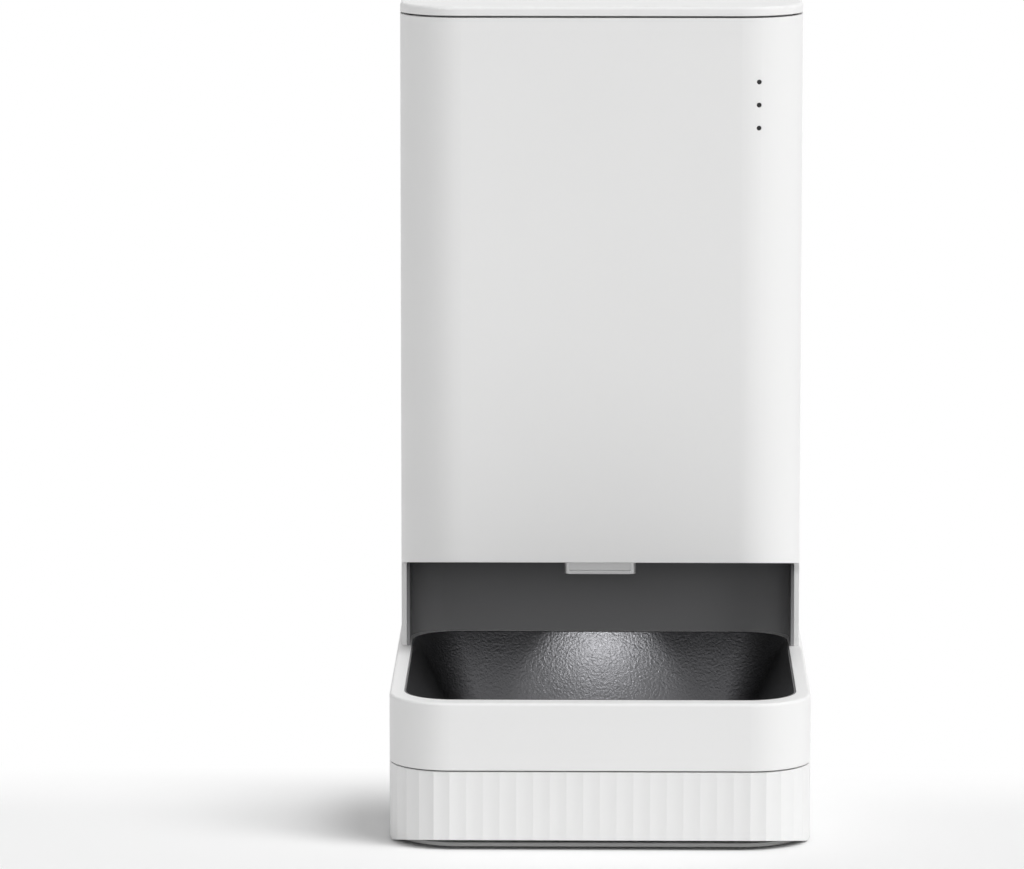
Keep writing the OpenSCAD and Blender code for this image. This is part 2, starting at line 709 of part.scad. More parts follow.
module metering_housing() color("#e4e5e4") difference() {
    translate([0, rotor_y, 0]) difference() {
        union() {
            translate([0, 0, drum_z]) cylinder(h = drum_h, r = drum_out);
            translate([0, 0, drum_top - flange_t]) cylinder(h = flange_t, r = drum_out + flange_w);
        }
        translate([0, 0, drum_z + drum_wall]) cylinder(h = drum_h, r = drum_r);
        translate([0, 0, drum_z - 1]) cylinder(h = drum_wall + 2, r = shaft_r + run);
    }
    translate([0, outlet_y, drum_z - 1]) linear_extrude(drum_wall + 2) round_rect(outlet_w, outlet_d, 3);
}

module metering_rotor() color("#e8843c") translate([0, rotor_y, vane_z]) difference() {
    union() {
        cylinder(h = vane_h, r = hub_r);
        for (i = [0 : vane_n - 1]) rotate(i * 360 / vane_n)
            translate([hub_r - 1, -vane_t / 2, 0]) cube([vane_r - hub_r + 0.9, vane_t, vane_h]);
    }
    translate([0, 0, -1]) cylinder(h = vane_h + 2, r = shaft_r + 0.02);
}

// A hub on the rotor with a rod that lies across the throat and turns up near its end
module stirrer() color("#e8843c") translate([0, rotor_y, vane_z + vane_h]) difference() {
    rod_r = 2.2;
    reach = throat_r * 0.62;
    union() {
        cylinder(h = 7, r = hub_r - 2);
        translate([0, 0, stir_z]) rotate([0, 90, 0]) cylinder(h = reach, r = rod_r);
        translate([reach, 0, stir_z]) sphere(rod_r);
        translate([reach, 0, stir_z]) cylinder(h = stir_h, r = rod_r);
        translate([reach, 0, stir_z + stir_h]) sphere(rod_r);
        translate([0, 0, stir_z]) rotate([0, -90, 0]) cylinder(h = reach, r = rod_r);
        translate([-reach, 0, stir_z]) sphere(rod_r);
    }
    translate([0, 0, -1]) cylinder(h = 7, r = shaft_r + 0.02);
}

module bin_funnel(wall, top_z) {
    hull() {
        translate([0, bin_cy, funnel_z]) linear_extrude(top_z - funnel_z)
            round_rect(bin_w - 2 * wall, bin_d - 2 * wall, bin_r - wall, $fn = 48);
        translate([0, rotor_y, drum_top + flange_t])
            cylinder(h = eps, r = throat_r + bin_wall - wall, $fn = 48);
    }
}

module hopper_bin() color("#e9eaea") difference() {
    union() {
        bin_funnel(0, funnel_z + 1);
        prism(bin_w, bin_d, bin_r, funnel_z, bin_top, bin_cy);
        translate([0, rotor_y, drum_top]) cylinder(h = flange_t + 1, r = drum_out + flange_w);
    }
    bin_funnel(bin_wall, funnel_z + 1);
    prism(mouth_w, mouth_len, bin_r - bin_wall, funnel_z, bin_top + 1, bin_cy);
    translate([0, rotor_y, drum_top - 1]) cylinder(h = 8, r = throat_r);
}

module lid() color("#f7f7f6") {
    skirt_w = mouth_w - 2 * skirt_gap;
    skirt_len = mouth_len - 2 * skirt_gap;
    soft_prism(tower_w, tower_d, tower_r, lid_z, lid_top, 0, lid_edge, tower_cy);
    difference() {
        union() {
            prism(bin_w, bin_d, bin_r, bin_top, lid_z + 0.5, bin_cy);
            prism(skirt_w, skirt_len, bin_r - bin_wall - skirt_gap, lid_z - lid_skirt, lid_z, bin_cy);
        }
        prism(skirt_w - 2 * skirt_t, skirt_len - 2 * skirt_t, bin_r - bin_wall - skirt_gap - skirt_t,
            lid_z - lid_skirt - 1, lid_z, bin_cy);
    }
}

module lid_seal() color("#7f8385") difference() {
    skirt_w = mouth_w - 2 * skirt_gap;
    skirt_len = mouth_len - 2 * skirt_gap;
    union() {
        prism(skirt_w + 2 * seal_t, skirt_len + 2 * seal_t, bin_r - bin_wall - skirt_gap + seal_t,
            seal_z, seal_z + seal_h, bin_cy);
        for (z = [seal_z + 0.6, seal_z + seal_h - 1.8])
            prism(mouth_w - 2 * fit, mouth_len - 2 * fit, bin_r - bin_wall - fit, z, z + 1.2, bin_cy);
    }
    prism(skirt_w + snug, skirt_len + snug, bin_r - bin_wall - skirt_gap + snug / 2,
        seal_z - 1, seal_z + seal_h + 1, bin_cy);
}

module desiccant_holder() color("#eceded") translate([0, bin_cy, lid_z - dry_h]) difference() {
    cylinder(h = dry_h, r = dry_r);
    translate([0, 0, 1.6]) cylinder(h = dry_h, r = dry_r - 1.6);
    for (i = [0 : 11]) rotate(i * 30) translate([dry_r * 0.6, 0, -1]) linear_extrude(4)
        square([dry_r * 0.5, 2.4], center = true);
    for (i = [0 : 11]) rotate(i * 30) translate([dry_r - 2, 0, 5]) rotate([0, 90, 0])
        linear_extrude(4) translate([-dry_h / 2 + 5, 0]) square([dry_h / 2, 2.4], center = true);
}

module desiccant_pack() color("#f3efe2")
    translate([0, bin_cy, lid_z - dry_h + 1.8]) cylinder(h = dry_h - 6, r = dry_r - 2.2);

module led_board() color("#1f6b3a") translate([led_at - 5.5, led_back_y, led_z - 6])
    cube([11, led_board_t, (led_n - 1) * led_pitch + 12]);

module led_lenses() color("#2b2c2e") intersection() {
    at_lights() translate([0, 0, tower_front - 1]) cylinder(h = led_back_y - tower_front + 1, r = led_r);
    prism(tower_w, tower_d, tower_r, rim_z, tower_top, tower_cy);
}

module control_board() color("#1f6b3a") difference() {
    translate([board_in, board_y - board_t, panel_z - board_h / 2])
        cube([board_out - board_in, board_t, board_h]);
    for (x = [board_in + 4, board_out - 4])
        translate([x, board_y + 1, panel_z + board_h / 2 - 3]) rotate([90, 0, 0])
            cylinder(h = board_t + 2, r = 1.2);
}

module button_switch() color("#2a2b2d") translate([button_at, board_y, panel_z]) {
    translate([-3, 0, -3]) cube([6, switch_h, 6]);
    rotate([-90, 0, 0]) cylinder(h = switch_h + 0.4, r = 1.7);
}

module power_inlet() color("#232426") translate([inlet_at, board_y, panel_z]) difference() {
    union() {
        translate([-4.5, 0, -5.5]) cube([9, panel_in - board_y - 0.3, 11]);
        rotate([-90, 0, 0]) cylinder(h = rear_y - board_y - 0.3, r = inlet_r);
    }
    rotate([-90, 0, 0]) difference() {
        translate([0, 0, 1.5]) cylinder(h = 12, r = 2.75);
        cylinder(h = 6.5, r = 0.9);
    }
}

module feed_button() color("#ececeb") translate([button_at, 0, panel_z]) rotate([-90, 0, 0]) {
    back = board_y + switch_h + 0.4 + button_press + 0.2;
    translate([0, 0, back]) cylinder(h = rear_y - 0.4 - back, r = button_r);
    translate([0, 0, back]) cylinder(h = 1.2, r = button_r + 1.1);
}

module battery_box() color("#d6d7d6") difference() {
    prism(bay_w + 2 * box_t, bay_d + 2 * box_t, 2 + box_t, cover_top, bay_top + box_t, bay_y);
    prism(bay_w, bay_d, 2, cover_top - 1, bay_top, bay_y);
}

// One cell or contact place in the row, every second one turned round
module at_cells() {
    for (i = [0 : cell_n - 1])
        translate([(i + 0.5 - cell_n / 2) * (2 * cell_r + 0.4), bay_y, cover_top + fit + cell_r])
            rotate(i % 2 == 0 ? 0 : 180) children();
}

module battery_cells() color("#b87333") at_cells() rotate([-90, 0, 0]) {
    translate([0, 0, -bay_d / 2 + contact_t + 4]) cylinder(h = cell_len - 1, r = cell_r);
    translate([0, 0, -bay_d / 2 + contact_t + 2 + cell_len])
        cylinder(h = bay_d - cell_len - 2 * contact_t - 2.2, r = 2.75);
}

module battery_contacts() color("silver") at_cells() {
    plate = 2 * cell_r - 4;
    for (sy = [-1, 1]) translate([0, sy * (bay_d - contact_t) / 2, 0])
        cube([plate, contact_t - 0.04, plate], center = true);
    translate([0, -bay_d / 2 + contact_t - 0.05, 0]) rotate([-90, 0, 0]) cylinder(h = 3.8, r1 = 5, r2 = 3);
}

module battery_door() color("#c9cac8") difference() {
    prism(bay_w - 2 * fit, bay_d - 2 * fit, 2 - fit, foot_h, cover_top - snug, bay_y);
    translate([0, bay_y - bay_d / 2 + 7, foot_h - 4.2]) sphere(5);
}

base_plinth();
base_top();
bottom_cover();
rubber_feet();
base_screws();
steel_bowl();
tower_shell();
tower_screws();
recess_liner();
outlet_spout();
food_sensors();
drive_chassis();
gearbox_housing();
gearbox_screws();
motor_can();
drive_coupler();
hopper_bin();
metering_housing();
metering_rotor();
rotor_shaft();
stirrer();
lid();
lid_seal();
desiccant_holder();
desiccant_pack();
led_board();
led_lenses();
control_board();
button_switch();
power_inlet();
feed_button();
battery_box();
battery_cells();
battery_contacts();
battery_door();
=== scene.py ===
"""Looks of the automatic pet feeder: finishes, the bowl's smooth mesh, lights, floor and camera."""

import json
import math

import bpy
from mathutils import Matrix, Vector


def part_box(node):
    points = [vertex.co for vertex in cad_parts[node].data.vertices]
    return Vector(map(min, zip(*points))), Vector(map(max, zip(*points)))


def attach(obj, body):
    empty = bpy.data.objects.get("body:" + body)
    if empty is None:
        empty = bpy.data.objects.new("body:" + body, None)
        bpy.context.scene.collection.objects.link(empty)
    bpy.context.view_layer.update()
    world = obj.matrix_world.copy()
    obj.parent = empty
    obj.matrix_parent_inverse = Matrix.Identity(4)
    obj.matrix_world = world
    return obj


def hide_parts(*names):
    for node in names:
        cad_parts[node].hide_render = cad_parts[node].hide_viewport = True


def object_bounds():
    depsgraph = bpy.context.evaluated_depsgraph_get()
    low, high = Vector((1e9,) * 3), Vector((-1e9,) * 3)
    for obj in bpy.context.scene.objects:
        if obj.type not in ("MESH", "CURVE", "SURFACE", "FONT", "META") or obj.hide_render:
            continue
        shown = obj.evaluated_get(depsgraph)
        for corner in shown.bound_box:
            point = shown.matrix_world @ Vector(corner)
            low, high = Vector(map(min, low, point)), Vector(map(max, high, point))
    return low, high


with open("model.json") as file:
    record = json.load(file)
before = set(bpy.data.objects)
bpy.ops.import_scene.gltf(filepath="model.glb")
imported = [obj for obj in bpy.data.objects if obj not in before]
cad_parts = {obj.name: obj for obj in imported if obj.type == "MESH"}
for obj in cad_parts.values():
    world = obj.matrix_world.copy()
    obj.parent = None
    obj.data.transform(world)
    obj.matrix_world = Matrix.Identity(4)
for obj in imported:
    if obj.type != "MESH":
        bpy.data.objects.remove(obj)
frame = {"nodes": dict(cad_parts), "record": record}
CAD_LOW, CAD_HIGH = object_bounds()
NODES = frame["nodes"]
MM = 0.001

# The camera as fitted to the photo: focal length in pixels of the image's width, distance ahead of the
# feeder's front, height, pitch downwards, and how far right of the picture's centre the feeder stands
IMAGE_W = 1024
FOCAL_PX = 6337.0
SENSOR_MM = 36.0
CAMERA_AHEAD = 2.518
CAMERA_UP = 0.550
CAMERA_PITCH = 0.14945
OBJECT_SHIFT_PX = 89.6
CLIP_NEAR = 0.05
CLIP_FAR = 100.0

# The floor: half its width, its grey, and where along Y it starts and ends to turn white
FLOOR_HALF = 30.0
FLOOR_TONE = 0.9
FADE_FRONT = -0.10
FADE_BACK = 0.012

# Each sun: name, azimuth, elevation and spread in degrees, and strength
SUNS = (
    ("key_right", 66, 34, 25, 0.36),
    ("top_right", 60, 60, 30, 0.42),
    ("low_right", 40, 12, 20, 0.06),
    ("low_front", 2, 10, 16, 0.10),
)

# Room light from the far left and from the far right
ROOM_LEFT = 0.80
ROOM_RIGHT = 0.06

# The spot under the spout: power, place, the point it aims at, cone in degrees, soft share of the cone, size
GLOW_POWER = 0.062
GLOW_PLACE = (0.0, -0.036, 0.092)
GLOW_AIM = (0.0, -0.006, 0.038)
GLOW_CONE = 72
GLOW_BLEND = 0.5
GLOW_SIZE = 0.002

# The bowl's form, from its CAD box and the angles of its walls
BOWL_LOW, BOWL_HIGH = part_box("steel_bowl")
BOWL_LIP = 0.9 * MM
BOWL_R = 20.0 * MM
BOWL_R_LEAST = 6 * MM
BOWL_R_SHRINK = 0.35
BOWL_LEAN = math.radians(27)
BOWL_FILLET = 12.0 * MM
STEEL = 0.9 * MM
LIP_FLARE = 1.2
LIP_FLARE_ANGLES = (15, 40, 65, 90)
LIP_ROLL_ANGLES = (90, 60, 30, 0, -30, -60, -90)
UNDER_LIP = 1.5
CORNER_STEPS = 14
LEAN_STEPS = 6
FILLET_STEPS = 10
BOWL_SHARP = math.radians(50)

# Where the cells' copper band changes, and the height over which the liner's painted shade runs
CELL_LOW, CELL_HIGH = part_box("battery_cells")
WALL_LOW, WALL_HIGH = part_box("recess_liner")
BAND_FROM_MIDDLE = 0.012
BAND_BLUR = 0.0002

# Shading shared by the finishes
NODE_SHARP = math.radians(32)
EDGE_SAMPLES = 6
# How far the painted shade in corners and seams reaches, and the tone it darkens to
CORNER_SHADE_REACH = 0.006
CORNER_SHADE_TONE = 0.45


class Graph:
    """A small helper for building one material's nodes."""

    def __init__(self, name):
        self.material = bpy.data.materials.new(name)
        self.material.use_nodes = True
        self.nodes = self.material.node_tree.nodes
        self.links = self.material.node_tree.links
        self.nodes.clear()
        self.output = self.nodes.new("ShaderNodeOutputMaterial")
        self.coords = self.nodes.new("ShaderNodeTexCoord").outputs["Object"]

    def node(self, kind, **inputs):
        made = self.nodes.new(kind)
        for key, value in inputs.items():
            self.put(made, key, value)
        return made

    def put(self, node, key, value):
        """Sets a property of the node, or else links or fills the input of that name."""
        if hasattr(node, key) and key not in node.inputs:
            setattr(node, key, value)
        else:
            self.feed(node.inputs[key], value)

    def feed(self, socket, value):
        """Links the value if it is a socket, or else writes it as the socket's own."""
        if isinstance(value, bpy.types.NodeSocket):
            self.links.new(value, socket)
        else:
            socket.default_value = value

    def noise(self, scale, detail=2.0, roughness=0.5):
        made = self.node("ShaderNodeTexNoise", Vector=self.coords, Scale=scale, Detail=detail,
                         Roughness=roughness)
        return made.outputs["Fac"]

    def spread(self, value, low, high, from_low=0.0, from_high=1.0):
        """Maps a value from one range onto another."""
        made = self.nodes.new("ShaderNodeMapRange")
        self.links.new(value, made.inputs["Value"])
        made.inputs["From Min"].default_value = from_low
        made.inputs["From Max"].default_value = from_high
        made.inputs["To Min"].default_value = low
        made.inputs["To Max"].default_value = high
        return made.outputs["Result"]

    def blend(self, factor, first, second):
        """Mixes two colours; a colour mix keeps its factor in socket 0 and its colours in 6 and 7."""
        made = self.nodes.new("ShaderNodeMix")
        made.data_type = "RGBA"
        for place, value in ((0, factor), (6, first), (7, second)):
            self.feed(made.inputs[place], value)
        return made.outputs[2]

    def bump(self, height, strength, distance, normal=None):
        made = self.nodes.new("ShaderNodeBump")
        made.inputs["Strength"].default_value = strength
        made.inputs["Distance"].default_value = distance
        self.links.new(height, made.inputs["Height"])
        if normal is not None:
            self.links.new(normal, made.inputs["Normal"])
        return made.outputs["Normal"]

    def soft_edges(self, radius):
        made = self.nodes.new("ShaderNodeBevel")
        made.samples = EDGE_SAMPLES
        made.inputs["Radius"].default_value = radius
        return made.outputs["Normal"]

    def surface(self, base, roughness, metallic=0.0):
        """The shader that every finish ends in."""
        shader = self.node("ShaderNodeBsdfPrincipled", **{"Base Color": base, "Roughness": roughness})
        shader.inputs["Metallic"].default_value = metallic
        return shader

    def close(self, shader, normal=None):
        """Gives the shader its bumped normal, if there is one, and returns the finished material."""
        if normal is not None:
            self.links.new(normal, shader.inputs["Normal"])
        return self.finish(shader.outputs["BSDF"])

    def finish(self, shader):
        self.links.new(shader, self.output.inputs["Surface"])
        return self.material


def rgba(colour):
    return (*colour, 1.0)


def scaled(colour, factor):
    return tuple(channel * factor for channel in colour)


def moulded(name, colour, rough, grain=1800.0, depth=0.00002, edge=0.0, mottle=0.03, corner_shade=0.0, coat=0.0):
    """Injection-moulded plastic: fine spark grain, faint colour drift, softened edges, and painted shade
    darkening its corners and seams.
    """
    g = Graph(name)
    drift = g.noise(scale=9.0, detail=3.0)
    base = g.blend(drift, rgba(scaled(colour, 1 - mottle)), rgba(scaled(colour, 1 + mottle * 0.6)))
    if corner_shade > 0:
        # painted shade: the colour darkens where ambient occlusion finds corners and seams
        occlusion = g.node("ShaderNodeAmbientOcclusion", Distance=CORNER_SHADE_REACH, samples=EDGE_SAMPLES)
        shade = g.spread(occlusion.outputs["AO"], corner_shade, 0.0)
        base = g.blend(shade, base, rgba(scaled(colour, CORNER_SHADE_TONE)))
    fine = g.noise(scale=grain, detail=2.0, roughness=0.6)
    blotch = g.noise(scale=60.0, detail=2.0)
    roughness = g.spread(blotch, rough - 0.04, rough + 0.04, from_low=0.3, from_high=0.7)
    normal = g.soft_edges(edge) if edge > 0 else None
    shader = g.surface(base, roughness)
    shader.inputs["Coat Weight"].default_value = coat
    return g.close(shader, g.bump(fine, strength=0.35, distance=depth, normal=normal))


def painted_shade_wall(name, shaded_top_colour, low_colour, rough):
    """Matt dark plastic with dull patches, its colour darkened towards its top as painted shade from the
    overhang above.
    """
    g = Graph(name)
    split = g.node("ShaderNodeSeparateXYZ", Vector=g.coords)
    # painted shade: the colour darkens from the foot of the wall to its top, where the overhang shades it
    painted_shade_fall = g.spread(split.outputs["Z"], 0.0, 1.0, from_low=WALL_HIGH.z, from_high=WALL_LOW.z)
    base = g.blend(painted_shade_fall, rgba(shaded_top_colour), rgba(low_colour))
    patch = g.noise(scale=70.0, detail=3.0)
    shader = g.surface(base, g.spread(patch, rough - 0.05, rough + 0.05))
    shader.inputs["Specular IOR Level"].default_value = 0.3
    grain = g.noise(scale=1500.0, detail=2.0)
    return g.close(shader, g.bump(grain, strength=0.35, distance=0.00002, normal=g.soft_edges(0.0004)))


def metallised(name, colour):
    """Satin plastic rendered half metallic, with soft streaks along the face."""
    g = Graph(name)
    stretched = g.node("ShaderNodeMapping", Vector=g.coords, Scale=(8.0, 8.0, 900.0))
    wave = g.node("ShaderNodeTexNoise", Vector=stretched.outputs[0], Scale=1.0, Detail=2.0)
    streak = wave.outputs["Fac"]
    base = g.blend(streak, rgba(scaled(colour, 0.94)), rgba(colour))
    shader = g.surface(base, g.spread(streak, 0.30, 0.40), metallic=0.5)
    return g.close(shader, g.bump(streak, strength=0.1, distance=0.00002, normal=g.soft_edges(0.0003)))


def rubber(name, colour, rough=0.75):
    """Matt rubber with a pebbled skin and greyed patches."""
    g = Graph(name)
    patch = g.noise(scale=180.0, detail=4.0)
    greyed = g.spread(patch, 0, 1, from_low=0.35, from_high=0.75)
    base = g.blend(greyed, rgba(colour), rgba(scaled(colour, 1.5)))
    shader = g.surface(base, g.spread(patch, rough - 0.08, rough + 0.1))
    return g.close(shader, g.bump(g.noise(scale=1400.0, detail=3.0), strength=0.5, distance=0.00004))


def blasted_steel(name):
    """Blasted steel with a pebbled grain, its colour set far darker than real steel as painted shade for the
    dark recess it mirrors.
    """
    g = Graph(name)
    coarse = g.noise(scale=900.0, detail=2.0, roughness=0.55)
    fine = g.noise(scale=2300.0, detail=2.0, roughness=0.6)
    cloud = g.noise(scale=30.0, detail=3.0)
    tone = g.spread(cloud, 0.0, 1.0, from_low=0.3, from_high=0.7)
    # painted shade: a colour far below real steel, standing in for the dark recess and overhang it mirrors
    base = g.blend(tone, rgba((0.120, 0.120, 0.126)), rgba((0.140, 0.140, 0.146)))
    shader = g.surface(base, g.spread(fine, 0.32, 0.46), metallic=1.0)
    pebbles = g.bump(coarse, strength=0.9, distance=0.00024)
    return g.close(shader, g.bump(fine, strength=0.7, distance=0.0001, normal=pebbles))


def turned_steel(name, colour):
    """Plain machined steel with a fine grain and smudges."""
    g = Graph(name)
    smudge = g.noise(scale=140.0, detail=4.0)
    base = g.blend(smudge, rgba(scaled(colour, 0.85)), rgba(colour))
    shader = g.surface(base, g.spread(smudge, 0.22, 0.42), metallic=1.0)
    return g.close(shader, g.bump(g.noise(scale=2600.0, detail=2.0), strength=0.3, distance=0.00002))


def solder_mask(name):
    """Green circuit board lacquer with lines showing through."""
    g = Graph(name)
    wave = g.node("ShaderNodeTexWave", Vector=g.coords, Scale=160.0, Distortion=3.0, Detail=1.0)
    tracks = g.spread(wave.outputs["Fac"], 0.0, 1.0, from_low=0.62, from_high=0.7)
    base = g.blend(tracks, rgba((0.012, 0.10, 0.035)), rgba((0.03, 0.19, 0.07)))
    shader = g.surface(base, 0.28)
    return g.close(shader, g.bump(tracks, strength=0.4, distance=0.00003))


def pack_paper(name):
    """Breathing paper of the drying agent pack, with fibres and creases."""
    g = Graph(name)
    fibre = g.noise(scale=900.0, detail=6.0, roughness=0.7)
    crease = g.noise(scale=120.0, detail=3.0)
    base = g.blend(fibre, rgba((0.70, 0.67, 0.58)), rgba((0.84, 0.82, 0.74)))
    shader = g.surface(base, 0.85)
    return g.close(shader, g.bump(crease, strength=0.6, distance=0.0006))


def cell_wrap(name):
    """Shrink sleeve of a cell: dark body and copper end along the cell, with fine scuffs."""
    g = Graph(name)
    split = g.node("ShaderNodeSeparateXYZ", Vector=g.coords)
    edge = (CELL_LOW[1] + CELL_HIGH[1]) / 2 + BAND_FROM_MIDDLE
    band = g.spread(split.outputs["Y"], 0.0, 1.0, from_low=edge - BAND_BLUR, from_high=edge + BAND_BLUR)
    scuff = g.noise(scale=500.0, detail=4.0)
    base = g.blend(band, rgba((0.03, 0.03, 0.035)), rgba((0.55, 0.27, 0.10)))
    worn = g.spread(scuff, 0.0, 0.3, from_low=0.6, from_high=0.8)
    base = g.blend(worn, base, rgba((0.4, 0.38, 0.36)))
    return g.close(g.surface(base, g.spread(scuff, 0.22, 0.4), metallic=0.4))


FINISHES = {
    # white body, with a little painted shade in its corners and seams
    "white_plastic": moulded("white_satin", (0.80, 0.80, 0.798), 0.44, edge=0.0005, corner_shade=0.12),
    # grey cover plate, its colour partly its own grey and partly painted shade for the shadow beneath the
    # skirt
    "cover_plastic": moulded("cover_grey_painted_shade", (0.27, 0.27, 0.268), 0.6, grain=900.0, depth=0.00008, edge=0.0004),
    # dark grey liner, with painted shade darkening it towards its top
    "liner_plastic": painted_shade_wall("liner_dark_painted_shade", (0.085, 0.085, 0.088), (0.30, 0.30, 0.306), 0.6),
    "spout_plastic": metallised("spout_satin", (0.80, 0.80, 0.80)),
    "bin_plastic": moulded("bin_milky", (0.70, 0.70, 0.69), 0.35, edge=0.0004, coat=0.1),
    "rotor_rubber": rubber("rotor_silicone", (0.60, 0.20, 0.05), 0.55),
    "bowl_steel": blasted_steel("bowl_blasted"),
    "plain_steel": turned_steel("steel_turned", (0.55, 0.55, 0.56)),
    "foot_rubber": rubber("foot_rubber", (0.035, 0.035, 0.035)),
    "seal_rubber": rubber("seal_rubber", (0.22, 0.225, 0.23), 0.6),
    "dark_plastic": moulded("dark_moulded", (0.022, 0.022, 0.025), 0.5, mottle=0.1),
    "lens_plastic": moulded("lens_smoked", (0.012, 0.012, 0.013), 0.15, grain=400.0, depth=0.000004),
    "board": solder_mask("board_green"),
    "coupler_plastic": moulded("coupler_blue", (0.05, 0.16, 0.46), 0.35),
    "cell_wrap": cell_wrap("cell_sleeve"),
    "pack_paper": pack_paper("pack_paper"),
}


def dress_nodes():
    """Gives every CAD node the finish of its slot, and smooth shading on its curved faces."""
    for row in frame["record"]["subparts"]:
        piece = NODES[row["node"]]
        piece.data.materials.clear()
        piece.data.materials.append(FINISHES[row["material_slot"]])
        piece.data.shade_smooth()
        piece.data.set_sharp_from_angle(angle=NODE_SHARP)


def rounded_loop(w, d, r, cy, z):
    """Points round a rounded rectangle, the same number for every size."""
    points = []
    for corner, (sx, sy) in enumerate(((1, 1), (-1, 1), (-1, -1), (1, -1))):
        for i in range(CORNER_STEPS + 1):
            a = math.radians(90 * corner + 90 * i / CORNER_STEPS)
            x = sx * (w / 2 - r) + r * math.cos(a)
            y = cy + sy * (d / 2 - r) + r * math.sin(a)
            points.append(Vector((x, y, z)))
    return points


def loft(name, loops):
    """A closed mesh that runs through loops of equal count."""
    verts = [p for loop in loops for p in loop]
    n = len(loops[0])
    faces = []
    for row in range(len(loops) - 1):
        for i in range(n):
            j = (i + 1) % n
            faces.append((row * n + i, row * n + j, (row + 1) * n + j, (row + 1) * n + i))
    faces.append(tuple(reversed(range(n))))
    faces.append(tuple(range((len(loops) - 1) * n, len(loops) * n)))
    mesh = bpy.data.meshes.new(name)
    mesh.from_pydata(verts, [], faces)
    mesh.update()
    piece = bpy.data.objects.new(name, mesh)
    bpy.context.scene.collection.objects.link(piece)
    mesh.shade_smooth()
    mesh.set_sharp_from_angle(angle=BOWL_SHARP)
    return piece


def bowl_profile(drop):
    """Draw-in and height of the bowl's wall, from the rim down the lean and round the fillet to the floor."""
    floor = BOWL_LOW.z + STEEL - drop
    tangent_z = floor + BOWL_FILLET * (1 - math.sin(BOWL_LEAN))
    tangent_draw = (BOWL_HIGH.z - tangent_z) * math.tan(BOWL_LEAN)
    rows = []
    for i in range(LEAN_STEPS):
        t = i / LEAN_STEPS
        rows.append((tangent_draw * t, BOWL_HIGH.z + (tangent_z - BOWL_HIGH.z) * t))
    for i in range(FILLET_STEPS + 1):
        a = (math.pi / 2 - BOWL_LEAN) * (1 - i / FILLET_STEPS)
        rows.append((tangent_draw + BOWL_FILLET * (math.cos(BOWL_LEAN) - math.sin(a)),
                     floor + BOWL_FILLET * (1 - math.cos(a))))
    return rows


def bowl_loop(draw, z, grow=0.0):
    """One level of the bowl, drawn in from its CAD outline less the lip, and grown by a sheet's thickness."""
    wide = BOWL_HIGH.x - BOWL_LOW.x - 2 * BOWL_LIP + 2 * grow - 2 * draw
    deep = BOWL_HIGH.y - BOWL_LOW.y - 2 * BOWL_LIP + 2 * grow - 2 * draw
    r = max(BOWL_R - BOWL_LIP + grow - draw * BOWL_R_SHRINK, BOWL_R_LEAST)
    return rounded_loop(wide, deep, r, (BOWL_HIGH.y + BOWL_LOW.y) / 2, z)


def make_bowl():
    """The steel bowl: rolled lip, leaning walls, filleted floor and an even sheet thickness."""
    top = BOWL_HIGH.z
    roll = STEEL / 2
    loops = [bowl_loop(*row) for row in reversed(bowl_profile(0.0))][:-1]
    for a in LIP_FLARE_ANGLES:
        bend = math.radians(a)
        out = roll * LIP_FLARE * (1 - math.cos(bend))
        loops.append(bowl_loop(-out, top - roll * LIP_FLARE * (1 - math.sin(bend))))
    for a in LIP_ROLL_ANGLES:
        bend = math.radians(a)
        out = BOWL_LIP - roll + roll * math.cos(bend)
        loops.append(bowl_loop(-out, top - roll + roll * math.sin(bend)))
    for draw, z in bowl_profile(STEEL):
        if z < top - STEEL * UNDER_LIP:
            loops.append(bowl_loop(draw, z, STEEL))
    bowl = loft("bowl_dish", loops)
    bowl.data.materials.append(FINISHES["bowl_steel"])
    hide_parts("steel_bowl")
    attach(bowl, "bowl")


def sun(name, azimuth, elevation, spread, strength):
    """A soft parallel lamp: azimuth 0 is the front, 90 the right; strength 1 shows a white sheet as white."""
    light = bpy.data.lights.new(name, "SUN")
    light.angle = math.radians(spread)
    light.energy = strength * math.pi
    made = bpy.data.objects.new(name, light)
    side, up = math.radians(azimuth), math.radians(elevation)
    towards = Vector((math.sin(side) * math.cos(up), -math.cos(side) * math.cos(up), math.sin(up)))
    made.rotation_euler = towards.to_track_quat("Z", "Y").to_euler()
    made.visible_glossy = False
    bpy.context.scene.collection.objects.link(made)


def make_lamps():
    """Soft suns, hidden from mirror rays, and a small spot under the spout that lights the bowl only."""
    for name, azimuth, elevation, spread, strength in SUNS:
        sun(name, azimuth, elevation, spread, strength)
    light = bpy.data.lights.new("spout_glow", "SPOT")
    light.spot_size = math.radians(GLOW_CONE)
    light.spot_blend = GLOW_BLEND
    light.shadow_soft_size = GLOW_SIZE
    light.energy = GLOW_POWER
    made = bpy.data.objects.new("spout_glow", light)
    made.location = GLOW_PLACE
    made.rotation_euler = (Vector(GLOW_PLACE) - Vector(GLOW_AIM)).to_track_quat("Z", "Y").to_euler()
    lit = bpy.data.collections.new("lit_by_the_spot")
    lit.objects.link(bpy.data.objects["bowl_dish"])
    made.light_linking.receiver_collection = lit
    bpy.context.scene.collection.objects.link(made)


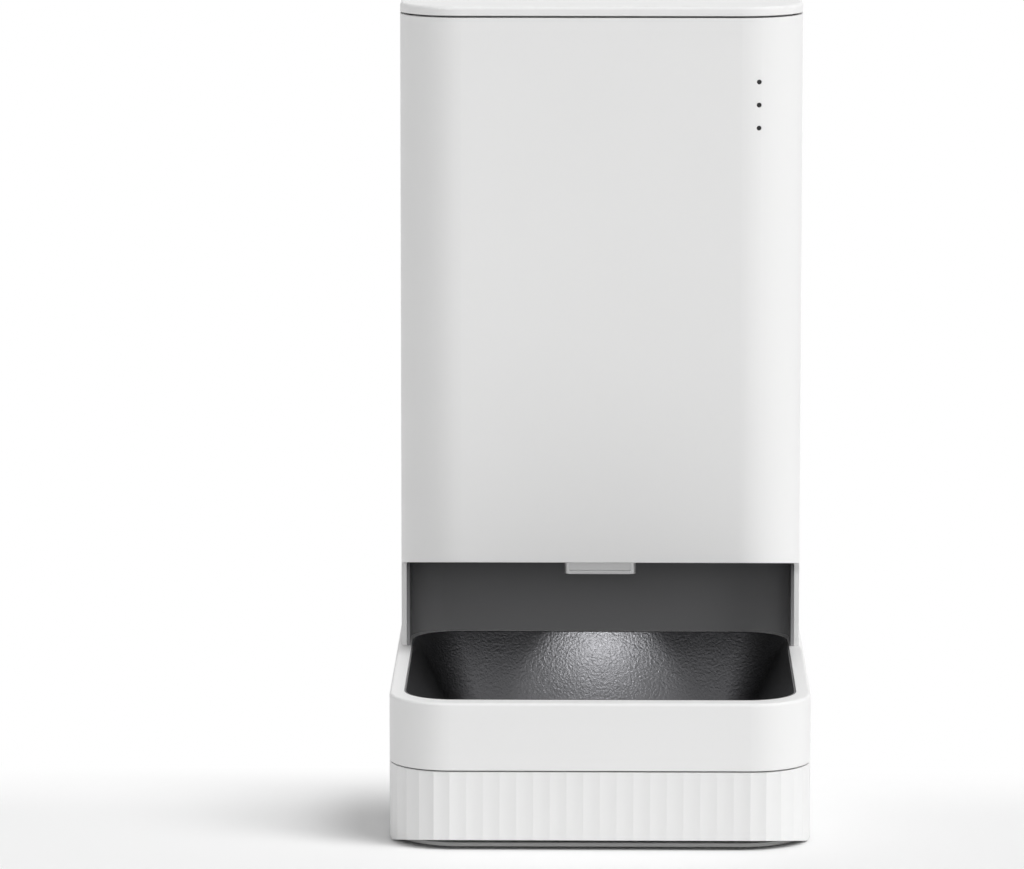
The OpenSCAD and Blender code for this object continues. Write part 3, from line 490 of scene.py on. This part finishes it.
def make_world():
    """Room light that grows upwards and to the left, and plain white for what is seen or mirrored."""
    world = bpy.data.worlds.new("room")
    bpy.context.scene.world = world
    world.use_nodes = True
    nodes, links = world.node_tree.nodes, world.node_tree.links
    nodes.clear()
    output = nodes.new("ShaderNodeOutputWorld")
    facing = nodes.new("ShaderNodeSeparateXYZ")
    links.new(nodes.new("ShaderNodeTexCoord").outputs["Generated"], facing.inputs[0])
    product = nodes.new("ShaderNodeMath")
    product.operation = "MULTIPLY"
    for socket, axis, low, high in ((0, "X", ROOM_LEFT, ROOM_RIGHT), (1, "Z", 0.0, 1.0)):
        grow = nodes.new("ShaderNodeMapRange")
        links.new(facing.outputs[axis], grow.inputs["Value"])
        for name, value in (("From Min", -1.0), ("From Max", 1.0), ("To Min", low), ("To Max", high)):
            grow.inputs[name].default_value = value
        links.new(grow.outputs["Result"], product.inputs[socket])
    room = nodes.new("ShaderNodeBackground")
    links.new(product.outputs[0], room.inputs["Strength"])
    white = nodes.new("ShaderNodeBackground")
    white.inputs["Strength"].default_value = 1.0
    for background in (room, white):
        background.inputs["Color"].default_value = (1, 1, 1, 1)
    mix = nodes.new("ShaderNodeMixShader")
    links.new(seen_ray(nodes, links), mix.inputs[0])
    links.new(room.outputs[0], mix.inputs[1])
    links.new(white.outputs[0], mix.inputs[2])
    links.new(mix.outputs[0], output.inputs["Surface"])


def seen_ray(nodes, links):
    """1 for rays from the camera and for rays that a mirror or glass passes on, else 0."""
    path = nodes.new("ShaderNodeLightPath")
    total = path.outputs["Is Camera Ray"]
    for name in ("Is Glossy Ray", "Is Transmission Ray"):
        add = nodes.new("ShaderNodeMath")
        add.operation = "MAXIMUM"
        links.new(total, add.inputs[0])
        links.new(path.outputs[name], add.inputs[1])
        total = add.outputs[0]
    return total


def make_floor():
    """Pale floor that keeps the shadows near the front and turns to plain white behind the object."""
    mesh = bpy.data.meshes.new("floor")
    h = FLOOR_HALF
    mesh.from_pydata([(-h, -h, 0), (h, -h, 0), (h, h, 0), (-h, h, 0)], [], [(0, 1, 2, 3)])
    floor = bpy.data.objects.new("floor", mesh)
    bpy.context.scene.collection.objects.link(floor)
    g = Graph("floor_white")
    split = g.node("ShaderNodeSeparateXYZ", Vector=g.coords)
    fade = g.nodes.new("ShaderNodeMapRange")
    fade.interpolation_type = "SMOOTHSTEP"
    g.links.new(split.outputs["Y"], fade.inputs["Value"])
    fade.inputs["From Min"].default_value = FADE_FRONT
    fade.inputs["From Max"].default_value = FADE_BACK
    seen = g.nodes.new("ShaderNodeMath")
    seen.operation = "MULTIPLY"
    g.links.new(fade.outputs["Result"], seen.inputs[0])
    g.links.new(seen_ray(g.nodes, g.links), seen.inputs[1])
    matt = g.node("ShaderNodeBsdfDiffuse", Color=(FLOOR_TONE, FLOOR_TONE, FLOOR_TONE, 1.0))
    glow = g.node("ShaderNodeEmission", Color=(1, 1, 1, 1), Strength=1.0)
    mix = g.nodes.new("ShaderNodeMixShader")
    g.links.new(seen.outputs[0], mix.inputs[0])
    g.links.new(matt.outputs[0], mix.inputs[1])
    g.links.new(glow.outputs[0], mix.inputs[2])
    mesh.materials.append(g.finish(mix.outputs[0]))


def make_camera():
    """The photo's view: a long lens from slightly above, turned so that the feeder sits right of centre."""
    data = bpy.data.cameras.new("camera")
    data.sensor_fit = "HORIZONTAL"
    data.sensor_width = SENSOR_MM
    data.lens = FOCAL_PX * SENSOR_MM / IMAGE_W
    data.clip_start = CLIP_NEAR
    data.clip_end = CLIP_FAR
    camera = bpy.data.objects.new("camera", data)
    camera.location = (0.0, CAD_LOW.y - CAMERA_AHEAD, CAMERA_UP)
    camera.rotation_euler = (math.pi / 2 - CAMERA_PITCH, 0.0, math.atan(OBJECT_SHIFT_PX / FOCAL_PX))
    bpy.context.scene.collection.objects.link(camera)
    bpy.context.scene.camera = camera


dress_nodes()
make_bowl()
make_lamps()
make_world()
make_floor()
make_camera()
bpy.context.scene.view_settings.view_transform = "Standard"
